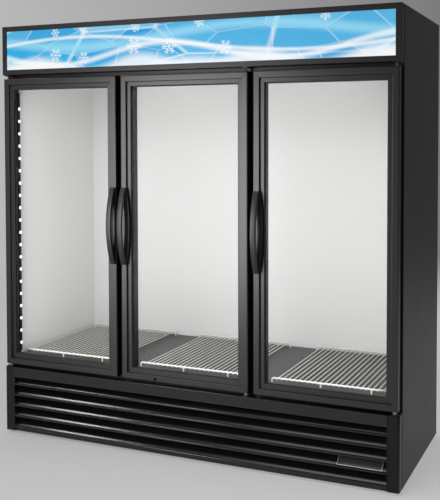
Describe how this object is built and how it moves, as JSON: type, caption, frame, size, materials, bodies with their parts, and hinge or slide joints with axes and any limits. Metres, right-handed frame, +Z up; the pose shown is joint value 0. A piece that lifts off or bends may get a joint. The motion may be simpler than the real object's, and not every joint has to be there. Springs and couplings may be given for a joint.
{
  "type": "ice merchandiser freezer",
  "caption": "Upright glass-door ice merchandiser freezer with hinged self-closing doors, lit header sign, wire floor racks and a louvred base grille over the condensing unit.",
  "frame": {"origin": "on the floor, at the middle of the overall width and of the overall depth with handles", "axes": "+X to the right seen from the front, +Y from the doors to the back, +Z up"},
  "size_m": [1.987, 0.805, 1.998],
  "materials": {
    "cabinet_paint": "satin",
    "trim_paint": "satin",
    "door_extrusion": "satin",
    "clear_glass": "gloss",
    "spacer_black": "matte",
    "gasket_vinyl": "satin",
    "bush_plastic": "satin",
    "black_plastic": "satin",
    "lock_chrome": "polished",
    "white_liner": "satin",
    "stainless_floor": "satin",
    "strip_aluminium": "satin",
    "led_diffuser": "satin",
    "coated_wire": "satin",
    "sign_sheet": "gloss",
    "badge_finish": "satin",
    "frame_steel": "matte",
    "zinc_steel": "satin",
    "galvanised_sheet": "matte",
    "insulation_foam": "matte",
    "compressor_paint": "gloss",
    "coil_aluminium": "matte",
    "motor_paint": "satin",
    "copper_tube": "satin",
    "fan_plastic": "satin"
  },
  "bodies": {
    "cabinet": {"side_panel_left": "cabinet_paint", "side_panel_right": "cabinet_paint", "top_panel": "cabinet_paint", "rear_panel": "galvanised_sheet", "foam_insulation": "insulation_foam", "inner_liner": "white_liner", "interior_floor_pan": "stainless_floor", "front_face_frame": "trim_paint", "led_channels": "strip_aluminium", "led_lenses": "led_diffuser", "floor_racks": "coated_wire", "sign_housing": "cabinet_paint", "header_end_caps": "trim_paint", "sign_bezel": "trim_paint", "sign_panel": "sign_sheet", "sign_light_bars": "led_diffuser", "base_corner_posts": "trim_paint", "base_frame": "frame_steel", "louvre_grille": "trim_paint", "badge_plate": "badge_finish", "levelling_feet": "zinc_steel", "hinge_brackets": "trim_paint", "casing_screws": "zinc_steel", "unit_tray": "galvanised_sheet", "compressor": "compressor_paint", "condenser_coil": "coil_aluminium", "condenser_fan_shroud": "galvanised_sheet", "condenser_fan_motor": "motor_paint", "refrigerant_lines": "copper_tube", "control_box": "galvanised_sheet", "condensate_pan": "galvanised_sheet", "rear_cover": "galvanised_sheet", "power_inlet_gland": "black_plastic", "evaporator_cover": "white_liner", "evaporator_coil": "coil_aluminium", "evaporator_fan_motors": "motor_paint"},
    "door_1": {"door_1_frame": "door_extrusion", "door_1_glass": "clear_glass", "door_1_spacer": "spacer_black", "door_1_gasket": "gasket_vinyl", "door_1_hinge_bushes": "bush_plastic", "door_1_handle": "black_plastic"},
    "door_2": {"door_2_frame": "door_extrusion", "door_2_glass": "clear_glass", "door_2_spacer": "spacer_black", "door_2_gasket": "gasket_vinyl", "door_2_hinge_bushes": "bush_plastic", "door_2_handle": "black_plastic", "lock_barrel": "lock_chrome"},
    "door_3": {"door_3_frame": "door_extrusion", "door_3_glass": "clear_glass", "door_3_spacer": "spacer_black", "door_3_gasket": "gasket_vinyl", "door_3_hinge_bushes": "bush_plastic", "door_3_handle": "black_plastic"},
    "lock_plug": {"lock_plug": "lock_chrome"},
    "condenser_fan": {"condenser_fan": "fan_plastic"},
    "evaporator_fan_left": {"evaporator_fan_left": "fan_plastic"},
    "evaporator_fan_right": {"evaporator_fan_right": "fan_plastic"},
    "temperature_knob": {"temperature_knob": "black_plastic"}
  },
  "joints": [
    {"name": "door_1_swing", "type": "hinge", "parent": "cabinet", "child": "door_1", "pos_m": [-0.9685, -0.3405, 0.343], "axis": [0, 0, -1], "range_deg": [0, 120], "stiffness_Nm_per_rad": 2.5},
    {"name": "door_2_swing", "type": "hinge", "parent": "cabinet", "child": "door_2", "pos_m": [0.30417, -0.3405, 0.343], "axis": [0, 0, 1], "range_deg": [0, 105], "stiffness_Nm_per_rad": 2.5},
    {"name": "door_3_swing", "type": "hinge", "parent": "cabinet", "child": "door_3", "pos_m": [0.9685, -0.3405, 0.343], "axis": [0, 0, 1], "range_deg": [0, 120], "stiffness_Nm_per_rad": 2.5},
    {"name": "lock_turn", "type": "hinge", "parent": "door_2", "child": "lock_plug", "pos_m": [-0.14317, -0.3575, 0.355], "axis": [0, 1, 0], "range_deg": [0, 90]},
    {"name": "condenser_fan_spin", "type": "hinge", "parent": "cabinet", "child": "condenser_fan", "pos_m": [0, -0.1925, 0.162], "axis": [0, 1, 0], "continuous": true},
    {"name": "evaporator_fan_left_spin", "type": "hinge", "parent": "cabinet", "child": "evaporator_fan_left", "pos_m": [-0.32, 0.035, 1.851], "axis": [0, 1, 0], "continuous": true},
    {"name": "evaporator_fan_right_spin", "type": "hinge", "parent": "cabinet", "child": "evaporator_fan_right", "pos_m": [0.32, 0.035, 1.851], "axis": [0, 1, 0], "continuous": true},
    {"name": "temperature_knob_turn", "type": "hinge", "parent": "cabinet", "child": "temperature_knob", "pos_m": [0.262, -0.2795, 0.152], "axis": [0, 1, 0], "range_deg": [0, 270]}
  ]
}
